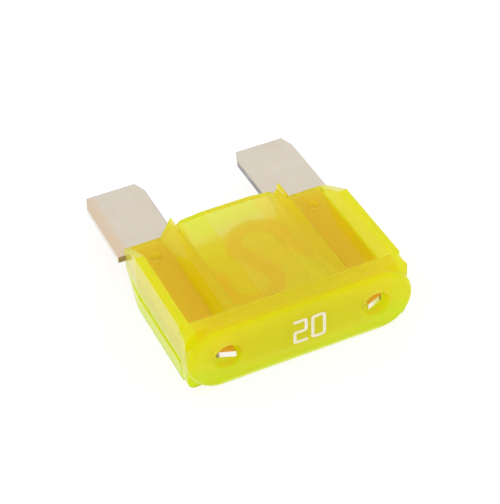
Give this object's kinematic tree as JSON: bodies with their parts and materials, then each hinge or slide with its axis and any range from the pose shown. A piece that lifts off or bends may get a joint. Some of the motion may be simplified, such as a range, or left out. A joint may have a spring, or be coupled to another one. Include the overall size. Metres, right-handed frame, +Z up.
{
  "type": "automotive blade fuse",
  "caption": "Large flat plug-in fuse: a see-through plastic housing over a stamped metal strip, with two side-by-side blades and a fusible link between them.",
  "frame": {"origin": "middle of the outline, on the flat underside that the fuse lies on", "axes": "+X across the two blades, +Y from the head's face to the blade tips, +Z up through the thickness"},
  "size_m": [0.0292, 0.0342, 0.0086],
  "materials": {
    "clear_plastic": "glossy, see-through yellow",
    "strip_metal": "satin, stamped and tin-plated"
  },
  "bodies": {
    "root": {"housing": "clear_plastic", "fuse_strip": "strip_metal"}
  },
  "joints": []
}
